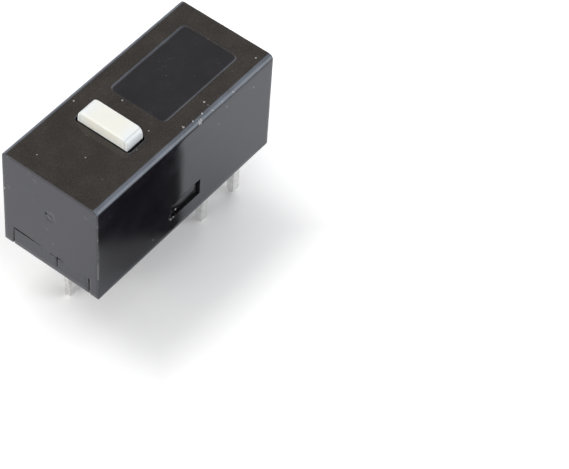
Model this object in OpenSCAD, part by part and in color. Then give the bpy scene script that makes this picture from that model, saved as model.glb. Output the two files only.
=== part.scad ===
// Miniature micro switch with an optical read-out. A press button bears on a snap blade, and the
// blade carries a shutter flag down between an emitter and a receiver.
// Frame: the origin is the middle of the mounting face, +Z points up to the button, +X points along
// the housing to the optics, and +Y points to the receiver. All lengths are in millimetres.

/* [Layout along the housing] */
// Room between the near end wall and the axis of the first pin
anchor_room = 0.92; // [0.88:0.02:1.2]
// Pitch of the two wide pins
pin_pitch = 5.08; // [4.8:0.02:5.6]
// Pitch of the two leads of one optical element
lead_pitch = 2.54; // [2.3:0.02:2.8]
// Overhang of an optical element past its leads
optic_overhang = 0.58; // [0.45:0.01:0.7]
// Room between the optical elements and the far end wall
optic_room = 0.14; // [0.08:0.01:0.3]
// Distance of the button from the axis of the first pin
button_offset = 2.8; // [2.6:0.05:3]

/* [Housing] */
// Width of the housing at its foot
body_w = 5.8; // [5.7:0.1:6.6]
// Height of the housing above the mounting face
body_h = 6.25; // [6.15:0.05:7]
// Lean of each long side, from foot to top
side_draft = 0.05; // [0:0.01:0.08]
// Radius of the two long top edges
top_edge_r = 0.3; // [0.1:0.05:0.4]
// Thickness of the cover's long sides
side_wall = 0.55; // [0.45:0.05:0.6]
// Thickness of the cover's end walls
end_wall = 0.5; // [0.4:0.05:0.55]
// Thickness of the cover's top
top_wall = 0.55; // [0.45:0.05:0.65]
// Thickness of the base plate
base_t = 1.1; // [0.9:0.05:1.2]
// Gap between the base and the cover that snaps over it
fit_gap = 0.05; // [0.02:0.01:0.08]

/* [Latches] */
// Width of the latch window in each long side
window_w = 2.2; // [1.6:0.05:2.4]
// Height of the latch window
window_h = 1.03; // [0.8:0.01:1.1]
// Height of the window's lower edge above the mounting face
window_z = 1; // [0.9:0.05:1.1]
// Offset of the window along the housing from the middle
window_x = -0.05; // [-0.1:0.01:0.05]
// Gap between a latch and the lower and upper edge of its window
latch_gap = 0.06; // [0.04:0.01:0.1]
// Gap between a latch and each end of its window
latch_side_gap = 0.14; // [0.06:0.01:0.2]
// Reach of a latch into its window
latch_reach = 0.3; // [0.2:0.05:0.35]

/* [Button] */
// Width of the button along the housing
button_w = 1.13; // [0.9:0.01:1.3]
// Length of the button across the housing
button_l = 2.98; // [2.6:0.02:3.1]
// Height of the free button above the cover
button_h = 0.63; // [0.55:0.01:0.75]
// Radius of the button's rounded shoulders
shoulder_r = 0.35; // [0.15:0.05:0.5]
// Gap between the button's long faces and its slot
slot_gap_x = 0.08; // [0.05:0.01:0.12]
// Gap between the button's ends and its slot
slot_gap_y = 0.15; // [0.08:0.01:0.2]
// Corner radius of the slot
slot_r = 0.2; // [0.1:0.05:0.3]
// Height of the flange that keeps the button in
flange_t = 0.45; // [0.35:0.05:0.55]
// Radius of the nose that bears on the blade
nose_r = 0.4; // [0.3:0.05:0.45]
// Travel of the button
travel = 0.5; // [0.3:0.05:0.55]

/* [Terminals] */
// Width of a wide pin
pin_w = 0.85; // [0.6:0.05:0.95]
// Thickness of the terminal sheet
sheet_t = 0.3; // [0.2:0.05:0.4]
// Length of every pin and lead below the mounting face
pin_len = 3.3; // [2.5:0.1:4]
// Height of the notch that anchors the blade
pivot_h = 4.2; // [4.1:0.05:4.3]

/* [Blade] */
// Thickness of the blade
blade_t = 0.1; // [0.06:0.01:0.12]
// Width of the blade's frame
blade_w = 2.6; // [2.4:0.1:3]
// Width of each side rail of the frame
rail_w = 0.4; // [0.3:0.05:0.5]
// Width of the bowed tongue inside the frame
tongue_w = 1.2; // [0.8:0.1:1.3]
// Upward tilt of the blade while the button is free, in degrees
rest_tilt = 5; // [4:0.5:6]
// Depth of the tongue's bow
tongue_bow = 0.5; // [0.3:0.05:0.55]
// Length of the shutter flag
flag_l = 1.3; // [0.9:0.1:1.5]
// Drop of the shutter flag below the blade
flag_drop = 1; // [0.8:0.05:1.1]

/* [Optics] */
// Distance of each row of leads from the middle plane
lead_row = 1.85; // [1.75:0.05:1.95]
// Width of a lead along the housing
lead_w = 0.48; // [0.35:0.01:0.55]
// Thickness of a lead
lead_t = 0.4; // [0.3:0.05:0.45]
// Thickness of the resin body
optic_t = 1.5; // [1.4:0.05:1.55]
// Height of the resin body
optic_h = 3.1; // [2.7:0.1:3.3]
// Height of the light beam above the mounting face
beam_h = 3.1; // [3:0.05:3.2]
// Radius of the ball that forms the lens
lens_r = 0.85; // [0.7:0.05:0.95]
// Height of the lens above the face of its body
lens_rise = 0.27; // [0.15:0.01:0.3]

/* [Hidden] */
$fn = 48;

// Reach of a cutting tool past the surface that it opens
cut = 1;
// Depth by which joined shapes of one moulding run into each other
bite = 0.2;

// Housing, long enough for the pins and the optics that it holds
optic_l = lead_pitch + 2 * optic_overhang;
body_l = 2 * end_wall + anchor_room + pin_pitch + 2 * lead_pitch + optic_overhang + optic_room;
body_end = body_l / 2;
inner_end = body_end - end_wall;
inner_side = body_w / 2 - side_wall;
ceiling = body_h - top_wall;
seam_z = base_t + fit_gap;
base_side = inner_side - fit_gap;
base_end = body_end - fit_gap / 2;
draft_angle = atan(side_draft / body_h);
lead_in = 0.06;
seam_notch_w = 0.12;
seam_notch_d = 0.35;
seam_notch_y = -0.35;
pip_d = 0.6;
pip_depth = 0.05;
pip_nub_d = 0.2;
pip_drop = 2.5;
pip_z = body_h - pip_drop;
slot_w = button_w + 2 * slot_gap_x;
slot_l = button_l + 2 * slot_gap_y;

// Grid of pins and leads
anchor_x = anchor_room - inner_end;
stop_x = anchor_x + pin_pitch;
near_lead_x = stop_x + lead_pitch;
far_lead_x = near_lead_x + lead_pitch;
button_x = anchor_x + button_offset;
optic_x = (near_lead_x + far_lead_x) / 2;
optic_x0 = optic_x - optic_l / 2;
optic_x1 = optic_x + optic_l / 2;

// Blade: u runs along it from the anchor notch, v is square to it
blade_gap = 0.03;
pivot_from_pin = 0.05;
pivot_x = anchor_x + pivot_from_pin;
button_arm = button_x - pivot_x;
press_turn = travel / button_arm * 180 / PI;
press_tilt = rest_tilt - press_turn;
land_l = 0.7;
land_clear = 0.15;
land_end_x = optic_x0 - land_clear;
anchor_bar_l = 0.65;
flag_end_x = optic_x + flag_l / 2;
fold_r = 0.15;
u_land_end = (land_end_x - pivot_x) / cos(rest_tilt);
u_window_end = u_land_end - land_l;
u_flag_end = (flag_end_x - pivot_x) / cos(rest_tilt);
tongue_end_u = 0.7;
tongue_end_v = -0.6;

// Anchor terminal
post_back = 0.15;
post_l = 0.9;
post_over = 0.45;
post_top = pivot_h + post_over;
post_x0 = pivot_x - post_back;
post_x1 = post_x0 + post_l;
notch_root = 0.09;
notch_mouth = 0.24;
tongue_notch_d = 0.25;
tongue_notch_root = 0.12;
tongue_notch_mouth = 0.32;
tongue_notch_z = pivot_h + tongue_end_v;
root_z = 0.5;
root_shoulder = 0.05;
post_foot = 0.45;
anchor_root_x0 = anchor_x - pin_w / 2 - root_shoulder;
anchor_root_x1 = post_x1 + post_foot;
boss_wall = 0.35;
boss_h = 2.2;
boss_slope = 0.3;

// Pins
neck_inset = 0.15;
neck_w = pin_w - 2 * neck_inset;
neck_l = 0.45;
step_z = 2.1;
tip_inset = 0.08;
tip_w = pin_w - 2 * tip_inset;
tip_chamfer = 0.15;
pin_slot_gap = 0.1;

// Stop terminal
stop_gap = 0.04;
pad_l = 0.6;
pad_w = 0.9;
pad_x1 = land_end_x;
pad_x0 = pad_x1 - pad_l;
pad_top = pivot_h + (pad_x1 - pivot_x) * tan(press_tilt) - blade_t / 2 / cos(press_tilt) - stop_gap;
stop_shoulder = 0.1;
stop_root_w = pin_w + 2 * stop_shoulder;
stop_root_top = 1.75;
arm_clear = 0.1;
arm_z = base_t + arm_clear;
arm_h = 0.5;
block_over = 0.05;
block_h = window_z + window_h + block_over;

// Ceiling rib that stops the free blade
rib_w = 0.4;
rib_l = 2;
rib_x = pad_x0;
rib_z = pivot_h + (rib_x + rib_w / 2 - pivot_x) * tan(rest_tilt) + blade_t / 2 / cos(rest_tilt)
        + stop_gap;

// Button
button_top = body_h + button_h;
flange_top = ceiling - blade_gap;
flange_over = 0.25;
nose_inset = 0.05;
nose_l = blade_w - 2 * nose_inset;
nose_z = pivot_h + button_arm * tan(rest_tilt) + (nose_r + blade_t / 2 + blade_gap) / cos(rest_tilt);

// Optics
seat_h = 0.25;
seat_z = base_t + seat_h;
optic_outer = inner_side - fit_gap;
optic_inner = optic_outer - optic_t;
optic_top = seat_z + optic_h;
optic_chamfer = 0.25;
frame_arm_h = 0.6;
frame_gap = 0.2;
chip_edge = 0.35;
wire_land = 0.21;
frame_split = optic_x - chip_edge;
chip_w = 0.3;
chip_t = 0.15;
wire_r = 0.03;
wire_gap = 0.02;
pocket_sink = 0.1;
wire_span = chip_edge + frame_gap + wire_land;
lead_top = beam_h + frame_arm_h / 2;
lead_slot_gap = 0.07;
flag_gap = 0.1;
strip_w = optic_inner - lens_rise - flag_gap;
divider_gap = 0.3;
divider_h = pivot_h + u_flag_end * sin(press_tilt) - flag_drop * cos(press_tilt) - divider_gap;

// Scoops across the underside
scoop_w = 1.3;
scoop_d = 0.22;
scoop_r = (scoop_w * scoop_w / 4 + scoop_d * scoop_d) / (2 * scoop_d);
scoop_from_pin = 1.46;
scoop_x = [anchor_x + scoop_from_pin, optic_x];

// Extrude a shape drawn in X and Z across the housing, centred on y
module sheet_xz(t, y = 0) {
    translate([0, y + t / 2, 0]) rotate([90, 0, 0]) linear_extrude(t) children();
}

// Extrude a shape drawn in Y and Z along the housing, centred on x
module bar_yz(l, x = 0) {
    translate([x, 0, 0]) rotate([90, 0, 90]) linear_extrude(l, center = true) children();
}

// Box between two corners
module block(low, high) {
    translate(low) cube(high - low);
}

// Rectangle with true round corners
module round_rect(w, l, r) {
    square([w - 2 * r, l], center = true);
    square([w, l - 2 * r], center = true);
    for (sx = [-1, 1], sy = [-1, 1]) translate([sx * (w / 2 - r), sy * (l / 2 - r)]) circle(r);
}

module both_sides() {
    for (side = [-1, 1]) scale([1, side, 1]) children();
}

// Section of the housing: leaning sides, sharp foot and rounded top edges
module housing_section() {
    edge_z = body_h - top_edge_r;
    edge_y = body_w / 2 - side_draft * edge_z / body_h - top_edge_r / cos(draft_angle);
    tangent_y = edge_y + top_edge_r * cos(draft_angle);
    tangent_z = edge_z + top_edge_r * sin(draft_angle);
    polygon([[-body_w / 2, 0], [body_w / 2, 0], [tangent_y, tangent_z], [edge_y, body_h],
             [-edge_y, body_h], [-tangent_y, tangent_z]]);
    for (side = [-1, 1]) translate([side * edge_y, edge_z]) circle(top_edge_r);
}

// Chamfer inside the foot of each long wall, so that the cover starts over the base
module wall_lead_in() {
    bar_yz(body_l + 2 * cut)
        polygon([[inner_side - bite, -cut], [inner_side + lead_in + cut, -cut],
                 [inner_side, lead_in], [inner_side - bite, lead_in]]);
}

module gate_pip() {
    translate([-body_end, 0, pip_z]) rotate([0, 90, 0]) difference() {
        translate([0, 0, -cut]) cylinder(d = pip_d, h = cut + pip_depth);
        cylinder(d = pip_nub_d, h = cut);
    }
}

module cover() {
    color("#1c1a19") {
        difference() {
            bar_yz(body_l) housing_section();
            block([-inner_end, -inner_side, -cut], [inner_end, inner_side, ceiling]);
            block([-body_end - cut, -inner_side, -cut], [body_end + cut, inner_side, seam_z]);
            translate([button_x, 0, ceiling - cut]) linear_extrude(top_wall + 2 * cut)
                round_rect(slot_w, slot_l, slot_r);
            block([window_x - window_w / 2, -body_w / 2 - cut, window_z],
                  [window_x + window_w / 2, body_w / 2 + cut, window_z + window_h]);
            gate_pip();
            both_sides() wall_lead_in();
        }
        block([rib_x - rib_w / 2, -rib_l / 2, rib_z], [rib_x + rib_w / 2, rib_l / 2, ceiling + bite]);
    }
}

// Wedge that snaps into the window of the cover
module latch() {
    catch_z = window_z + latch_gap;
    ramp_top = window_z + window_h - latch_gap;
    bar_yz(window_w - 2 * latch_side_gap, window_x)
        polygon([[base_side - bite, catch_z], [base_side + latch_reach, catch_z],
                 [base_side + latch_reach, catch_z + latch_gap], [base_side, ramp_top],
                 [base_side - bite, ramp_top]]);
}

// Pocket and pin hole for one stamped terminal
module terminal_pocket(root_x0, root_x1, pin_x) {
    gap = fit_gap / 2;
    half = sheet_t / 2 + gap;
    block([root_x0 - gap, -half, root_z], [root_x1 + gap, half, block_h + boss_h]);
    block([pin_x - pin_w / 2 - pin_slot_gap, -half - pin_slot_gap, -cut],
          [pin_x + pin_w / 2 + pin_slot_gap, half + pin_slot_gap, root_z - bite]);
    block([pin_x - pin_w / 2 - gap, -half, -cut], [pin_x + pin_w / 2 + gap, half, block_h]);
}

module anchor_boss() {
    low_y = sheet_t / 2 + boss_wall;
    boss_x0 = max(anchor_root_x0 - boss_wall, -inner_end + fit_gap);
    boss_x1 = anchor_root_x1 + boss_wall;
    bar_yz(boss_x1 - boss_x0, (boss_x0 + boss_x1) / 2)
        polygon([[-low_y - boss_slope, base_t - bite], [low_y + boss_slope, base_t - bite],
                 [low_y, boss_h], [-low_y, boss_h]]);
}

module base() {
    color("#222226") difference() {
        union() {
            block([-base_end, -base_side, 0], [base_end, base_side, base_t]);
            block([window_x - window_w / 2, -base_side, base_t - bite],
                  [window_x + window_w / 2, base_side, block_h]);
            both_sides() latch();
            anchor_boss();
            block([optic_x0, -base_side, base_t - bite], [inner_end - fit_gap, base_side, seat_z]);
            block([optic_x0 + optic_chamfer, -optic_inner + fit_gap, base_t - bite],
                  [optic_x1 - optic_chamfer, optic_inner - fit_gap, divider_h]);
        }
        terminal_pocket(anchor_root_x0, anchor_root_x1, anchor_x);
        terminal_pocket(stop_x - stop_root_w / 2, pad_x1, stop_x);
        for (x = scoop_x) translate([x, 0, scoop_d - scoop_r]) rotate([90, 0, 0])
            cylinder(r = scoop_r, h = body_w, center = true);
        block([-base_end - cut, seam_notch_y - seam_notch_w / 2, base_t - seam_notch_d],
              [-base_end + seam_notch_w, seam_notch_y + seam_notch_w / 2, base_t + cut]);
        both_sides() for (x = [near_lead_x, far_lead_x])
            block([x - lead_w / 2 - lead_slot_gap, lead_row - lead_t / 2 - lead_slot_gap, -cut],
                  [x + lead_w / 2 + lead_slot_gap, base_side + cut, seat_z + cut]);
    }
}

module plunger() {
    color("#f1f0ea") translate([button_x, 0, 0]) {
        bar_yz(button_w) {
            translate([0, (flange_top - bite + button_top - shoulder_r) / 2])
                square([button_l, button_top - shoulder_r - flange_top + bite], center = true);
            translate([0, button_top / 2 + ceiling / 2])
                square([button_l - 2 * shoulder_r, button_top - ceiling], center = true);
            for (side = [-1, 1])
                translate([side * (button_l / 2 - shoulder_r), button_top - shoulder_r])
                    circle(shoulder_r);
        }
        block([-slot_w / 2 - flange_over, -slot_l / 2 - flange_over, flange_top - flange_t],
              [slot_w / 2 + flange_over, slot_l / 2 + flange_over, flange_top]);
        block([-nose_r, -nose_l / 2, nose_z], [nose_r, nose_l / 2, flange_top - bite]);
        translate([0, 0, nose_z]) rotate([90, 0, 0]) cylinder(r = nose_r, h = nose_l, center = true);
    }
}

// Bowed strip from the far end of the window back to its free end by the post
module tongue() {
    du = u_window_end - tongue_end_u;
    dv = -tongue_end_v;
    chord = sqrt(du * du + dv * dv);
    bow_r = (chord * chord / 4 + tongue_bow * tongue_bow) / (2 * tongue_bow);
    half_angle = asin(chord / 2 / bow_r);
    mid = [(u_window_end + tongue_end_u) / 2, tongue_end_v / 2];
    normal = [-dv, du] / chord;
    centre = mid + normal * (bow_r - tongue_bow);
    lean = atan2(dv, du);
    reach = bow_r + cut;
    intersection() {
        translate(centre) difference() {
            circle(bow_r + blade_t / 2, $fn = 180);
            circle(bow_r - blade_t / 2, $fn = 180);
        }
        translate(centre) rotate(lean - 90)
            polygon([[0, 0], reach * [cos(half_angle), -sin(half_angle)],
                     reach * [1 / cos(half_angle), 0],
                     reach * [cos(half_angle), sin(half_angle)]]);
    }
}

// Folded flag: a strip with one edge turned down
module flag_section() {
    difference() {
        translate([0, -flag_drop]) square([strip_w, flag_drop + blade_t / 2]);
        translate([blade_t, -flag_drop - cut])
            square([strip_w, flag_drop + cut - blade_t / 2 - (fold_r - blade_t)]);
        translate([fold_r, -flag_drop - cut]) square([strip_w, flag_drop + cut - blade_t / 2]);
        translate([-cut, blade_t / 2 - fold_r]) difference() {
            square([cut + fold_r, cut]);
            translate([cut + fold_r, 0]) circle(fold_r);
        }
    }
}

module snap_blade() {
    color("#c9a35a") translate([pivot_x, 0, pivot_h]) rotate([0, -rest_tilt, 0]) {
        translate([0, 0, -blade_t / 2]) linear_extrude(blade_t) {
            difference() {
                translate([-anchor_bar_l, -blade_w / 2]) square([anchor_bar_l + u_land_end, blade_w]);
                translate([0, rail_w - blade_w / 2]) square([u_window_end, blade_w - 2 * rail_w]);
            }
            translate([u_land_end - land_l / 2, 0])
                square([u_flag_end - u_land_end - flag_l + land_l, strip_w]);
        }
        sheet_xz(tongue_w) tongue();
        bar_yz(flag_l, u_flag_end - flag_l / 2) flag_section();
    }
}

// Outline of a wide pin below the base: neck, straight blade, step and pointed tip
module pin_outline(x) {
    right = [[tip_w / 2 - tip_chamfer, -pin_len], [tip_w / 2, tip_chamfer - pin_len],
             [tip_w / 2, -step_z - tip_chamfer], [pin_w / 2, -step_z], [pin_w / 2, -neck_l],
             [neck_w / 2, -neck_l / 4], [neck_w / 2, root_z + bite]];
    left = [for (i = [len(right) - 1 : -1 : 0]) [-right[i].x, right[i].y]];
    translate([x, 0]) polygon(concat(right, left));
}

// Stamped sheet with the edges of its pin tip broken
module stamped(reach) {
    intersection() {
        sheet_xz(sheet_t) children();
        bar_yz(4 * body_l) polygon([[-sheet_t / 4, -pin_len], [sheet_t / 4, -pin_len],
            [sheet_t / 2, tip_chamfer - pin_len], [sheet_t / 2, reach],
            [-sheet_t / 2, reach], [-sheet_t / 2, tip_chamfer - pin_len]]);
    }
}

module anchor_terminal() {
    color("#b9b4a2") stamped(post_top) difference() {
        union() {
            pin_outline(anchor_x);
            translate([anchor_root_x0, root_z])
                square([anchor_root_x1 - anchor_root_x0, boss_h - root_z]);
            polygon([[post_x0, boss_h - bite], [anchor_root_x1, boss_h - bite], [anchor_root_x1, boss_h],
                     [post_x1, boss_h + anchor_root_x1 - post_x1], [post_x1, post_top],
                     [post_x0, post_top]]);
        }
        polygon([[post_x0 - cut, pivot_h - notch_mouth - cut], [post_x0, pivot_h - notch_mouth],
                 [pivot_x + blade_gap, pivot_h - notch_root], [pivot_x + blade_gap, pivot_h + notch_root],
                 [post_x0, pivot_h + notch_mouth], [post_x0 - cut, pivot_h + notch_mouth + cut]]);
        polygon([[post_x1 + cut, tongue_notch_z - tongue_notch_mouth],
                 [post_x1, tongue_notch_z - tongue_notch_mouth],
                 [post_x1 - tongue_notch_d, tongue_notch_z - tongue_notch_root],
                 [post_x1 - tongue_notch_d, tongue_notch_z + tongue_notch_root],
                 [post_x1, tongue_notch_z + tongue_notch_mouth],
                 [post_x1 + cut, tongue_notch_z + tongue_notch_mouth]]);
    }
}

module stop_terminal() {
    root_x0 = stop_x - stop_root_w / 2;
    color("#b9b4a2") {
        stamped(pad_top) {
            pin_outline(stop_x);
            translate([root_x0, root_z]) square([stop_root_w, stop_root_top - root_z]);
            translate([stop_x, arm_z]) square([pad_x1 - stop_x, arm_h]);
            translate([pad_x0, arm_z]) square([pad_l, pad_top - arm_z]);
        }
        block([pad_x0, -sheet_t / 2, pad_top - sheet_t], [pad_x1, pad_w - sheet_t / 2, pad_top]);
    }
}

// One lead with its frame arm: drawn in X and Z
module lead_outline(x, arm_end) {
    tip = lead_w / 3;
    polygon([[x - lead_w / 2 + tip, -pin_len], [x + lead_w / 2 - tip, -pin_len],
             [x + lead_w / 2, tip - pin_len], [x + lead_w / 2, lead_top],
             [x - lead_w / 2, lead_top], [x - lead_w / 2, tip - pin_len]]);
    arm_x0 = min(x, arm_end);
    translate([arm_x0, lead_top - frame_arm_h]) square([abs(x - arm_end), frame_arm_h]);
}

module lead(x, arm_end, side) {
    tip = lead_t / 4;
    translate([0, side * lead_row, 0]) intersection() {
        sheet_xz(lead_t) lead_outline(x, arm_end);
        bar_yz(4 * body_l) polygon([[tip - lead_t / 2, -pin_len], [lead_t / 2 - tip, -pin_len],
            [lead_t / 2, 2 * tip - pin_len], [lead_t / 2, lead_top], [-lead_t / 2, lead_top],
            [-lead_t / 2, 2 * tip - pin_len]]);
    }
}

module post_lead(side) {
    lead(near_lead_x, frame_split - frame_gap, side);
}

module chip_lead(side) {
    lead(far_lead_x, frame_split, side);
}

// The chip sits on the inner face of its lead and looks across to the other element. Its pocket
// in the resin is sunk into the lead, so that the two pockets join.
module chip(side, sunk = 0) {
    face = lead_row - lead_t / 2;
    scale([1, side, 1]) block([optic_x - chip_w / 2, face - chip_t, beam_h - chip_w / 2],
                              [optic_x + chip_w / 2, face + sunk, beam_h + chip_w / 2]);
}

// Wire looped from the face of the chip to the other lead
module bond_wire(side, r, sunk = 0) {
    face = lead_row - lead_t / 2;
    scale([1, side, 1]) translate([optic_x - wire_span / 2, face - chip_t, beam_h]) {
        rotate([0, 0, 180]) rotate_extrude(angle = 180) translate([wire_span / 2, 0]) circle(r, $fn = 16);
        translate([-wire_span / 2, 0, 0]) rotate([-90, 0, 0])
            cylinder(r = r, h = chip_t + sunk, $fn = 16);
    }
}

module optic_body(side) {
    difference() {
        scale([1, side, 1]) union() {
            block([optic_x0, optic_inner, seat_z], [optic_x1, optic_outer, optic_top - optic_chamfer]);
            sheet_xz(optic_t, (optic_inner + optic_outer) / 2)
                polygon([[optic_x0, seat_z], [optic_x1, seat_z], [optic_x1, optic_top - optic_chamfer],
                         [optic_x1 - optic_chamfer, optic_top], [optic_x0 + optic_chamfer, optic_top],
                         [optic_x0, optic_top - optic_chamfer]]);
            intersection() {
                translate([optic_x, optic_inner + lens_r - lens_rise, beam_h]) sphere(lens_r);
                block([optic_x0, optic_inner - lens_rise, seat_z],
                      [optic_x1, optic_outer, optic_top - optic_chamfer]);
            }
        }
        post_lead(side);
        chip_lead(side);
        chip(side, pocket_sink);
        bond_wire(side, wire_r + wire_gap, pocket_sink);
    }
}

module emitter_body() { color("#dfe6ea", 0.5) optic_body(-1); }
module emitter_anode_lead() { color("#cfc9b4") post_lead(-1); }
module emitter_cathode_lead() { color("#cfc9b4") chip_lead(-1); }
module emitter_chip() { color("#7c6f9a") chip(-1); }
module emitter_bond_wire() { color("#d9b44a") bond_wire(-1, wire_r); }
module receiver_body() { color("#2a2630") optic_body(1); }
module receiver_collector_lead() { color("#cfc9b4") chip_lead(1); }
module receiver_emitter_lead() { color("#cfc9b4") post_lead(1); }
module receiver_chip() { color("#3c4a66") chip(1); }
module receiver_bond_wire() { color("#d9b44a") bond_wire(1, wire_r); }

cover();
base();
plunger();
snap_blade();
anchor_terminal();
stop_terminal();
emitter_body();
emitter_anode_lead();
emitter_cathode_lead();
emitter_chip();
emitter_bond_wire();
receiver_body();
receiver_collector_lead();
receiver_emitter_lead();
receiver_chip();
receiver_bond_wire();
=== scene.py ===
"""Looks of the optical micro switch: moulded cover and base, press button, pins, inner parts,
floor, soft light and camera. All lengths inside are in metres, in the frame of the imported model."""

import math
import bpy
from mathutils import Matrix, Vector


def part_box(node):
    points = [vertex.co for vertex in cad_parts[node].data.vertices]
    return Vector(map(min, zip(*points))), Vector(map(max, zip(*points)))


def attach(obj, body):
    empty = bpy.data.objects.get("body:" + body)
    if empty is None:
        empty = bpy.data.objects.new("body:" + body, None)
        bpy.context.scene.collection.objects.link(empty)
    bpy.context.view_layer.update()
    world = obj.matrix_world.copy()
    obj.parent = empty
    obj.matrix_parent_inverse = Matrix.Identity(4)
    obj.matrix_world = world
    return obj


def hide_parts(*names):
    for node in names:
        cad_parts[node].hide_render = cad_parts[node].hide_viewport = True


bl_info = {
    "name": "Micro switch looks",
    "version": (1, 0, 0),
    "blender": (4, 5, 0),
    "location": "3D View > Sidebar > Micro switch",
    "description": "Models and finishes the pieces of a small press-button switch",
    "category": "Object",
}

import bmesh
import bpy
from bpy.props import FloatProperty, FloatVectorProperty, PointerProperty
from mathutils import Euler, Matrix, Vector, noise

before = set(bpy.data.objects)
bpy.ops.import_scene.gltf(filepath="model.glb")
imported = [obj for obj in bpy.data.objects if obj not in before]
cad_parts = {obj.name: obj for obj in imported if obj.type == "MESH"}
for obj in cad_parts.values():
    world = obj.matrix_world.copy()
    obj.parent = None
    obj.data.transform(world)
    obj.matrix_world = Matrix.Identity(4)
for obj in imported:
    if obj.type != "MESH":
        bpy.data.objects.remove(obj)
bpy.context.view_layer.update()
MM = 0.001

COVER_LOW, COVER_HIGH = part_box("cover")
BASE_LOW, BASE_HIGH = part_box("base")
BUTTON_LOW, BUTTON_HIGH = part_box("plunger")
BUTTON_X = (BUTTON_LOW.x + BUTTON_HIGH.x) / 2
FLOOR_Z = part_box("stop_terminal")[0].z
PIP_Z = 3.75 * MM
PIP_REACH = 0.45 * MM
MERGE_DISTANCE = 0.0005 * MM
SHARP_ANGLE = 32


# Settings -----------------------------------------------------------------------------------


def length_setting(name, description, size):
    """A length, given in millimetres and kept in metres."""
    return FloatProperty(
        name=name, description=description, default=size * MM, unit="LENGTH")


def colour_setting(name, description, default, top=1):
    """A colour whose parts go up to a top value."""
    return FloatVectorProperty(
        name=name, description=description, default=default, subtype="COLOR", size=3,
        min=0, max=top)


class CoverSettings(bpy.types.PropertyGroup):
    side_lean: length_setting("Side lean", "Lean of each long side, from foot to top", 0.05)
    top_radius: length_setting("Top edge radius", "Radius of the two long top edges", 0.3)
    side_wall: length_setting("Side wall", "Thickness of the long sides", 0.55)
    end_wall: length_setting("End wall", "Thickness of the end walls", 0.5)
    top_wall: length_setting("Top wall", "Thickness of the top", 0.55)
    seam_height: length_setting(
        "Seam height", "Height of the base's top, where the end walls stop", 1.1)
    seam_gap: length_setting(
        "Seam gap", "Gap of the seam where it is widest, on the receiver's side", 0.14)
    lead_in: length_setting("Lead-in", "Chamfer inside the foot of each long wall", 0.06)
    window_width: length_setting("Window width", "Width of the latch window in each long side", 2.2)
    window_offset: length_setting(
        "Window offset", "Offset of the latch window along the housing", -0.05)
    window_low: length_setting("Window low edge", "Height of the latch window's lower edge", 1.0)
    window_high: length_setting("Window high edge", "Height of the latch window's upper edge", 2.03)
    panel_low: length_setting("Panel start", "End of the plain sunk panel next to the button", -0.3)
    panel_high: length_setting("Panel end", "Far end of the plain sunk panel", 5.2)
    panel_width: length_setting("Panel width", "Width of the plain sunk panel across the top", 3.3)
    panel_depth: length_setting("Panel depth", "Depth of the plain sunk panel", 0.045)
    edge_break: length_setting("Edge break", "Size of the small round on every other edge", 0.03)
    flash: length_setting("Flash", "How far the sharp parting edges waver", 0.022)


class ButtonSettings(bpy.types.PropertyGroup):
    width: length_setting("Width", "Width of the button along the housing", 1.13)
    length: length_setting("Length", "Length of the button across the housing", 2.98)
    shoulder: length_setting(
        "Shoulder radius", "Radius of the round at both ends of the button", 0.35)
    rim: length_setting("Rim", "Radius of the crisp edge round the top of the button", 0.05)
    soft_rim: length_setting(
        "Soft rim", "Radius of the softer top edge on the button's outer side", 0.15)
    slot_width: length_setting("Slot width", "Width of the opening in the cover", 1.29)
    slot_length: length_setting("Slot length", "Length of the opening in the cover", 3.28)
    slot_radius: length_setting("Slot corner radius", "Corner radius of the opening", 0.2)
    flange: length_setting("Flange height", "Height of the flange that keeps the button in", 0.45)
    nose_radius: length_setting("Nose radius", "Radius of the nose that bears on the blade", 0.4)


class ColourSettings(bpy.types.PropertyGroup):
    cover: colour_setting("Cover", "Black moulded plastic of the cover", (0.0083, 0.0074, 0.0100))
    base: colour_setting("Base", "Black moulded plastic of the base", (0.0083, 0.0078, 0.0100))
    button: colour_setting("Button", "Off-white plastic of the button", (0.93, 0.925, 0.865))
    tin: colour_setting("Tinned metal", "Tin plate of the pins and leads", (0.85, 0.835, 0.785))
    blade: colour_setting("Blade", "Copper alloy of the snap blade", (0.80, 0.58, 0.32))
    dust: colour_setting("Dust", "Dust specks on the housing", (0.62, 0.62, 0.60))


class StageSettings(bpy.types.PropertyGroup):
    floor_colour: colour_setting("Floor", "Colour of the pale floor", (0.85, 0.865, 0.895))
    floor_seen: colour_setting(
        "Floor seen", "Colour of the floor as the camera sees it", (1.035, 1.025, 1.015), 2)
    floor_gloss: colour_setting(
        "Floor in gloss", "Colour of the floor as reflections see it", (1.00, 1.01, 1.05), 2)
    floor_glow: FloatProperty(
        name="Floor glow", description="White that the camera sees added away from the switch",
        default=0.27)
    sky_colour: colour_setting(
        "Surroundings", "Colour of the soft light from all round", (0.41, 0.42, 0.44))
    key_strength: FloatProperty(
        name="Key lamp", description="Strength of the wide lamp above and behind", default=0.33)
    left_strength: FloatProperty(
        name="Left lamp", description="Strength of the soft lamp on the left", default=0.57)
    right_strength: FloatProperty(
        name="Right lamp", description="Strength of the soft lamp on the far right", default=0.20)
    side_strength: FloatProperty(
        name="Side lamp", description="Strength of the window-like lamp on the right",
        default=0.40)
    lens: FloatProperty(
        name="Lens", description="Focal length of the camera in millimetres on a 36 mm sensor",
        default=145.115)


# Mesh helpers -------------------------------------------------------------------------------


def box_mesh(low, high):
    """A bmesh box between two corners."""
    bm = bmesh.new()
    bmesh.ops.create_cube(bm, size=1)
    low, high = Vector(low), Vector(high)
    bmesh.ops.scale(bm, vec=high - low, verts=bm.verts)
    bmesh.ops.translate(bm, vec=(low + high) / 2, verts=bm.verts)
    return bm


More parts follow.
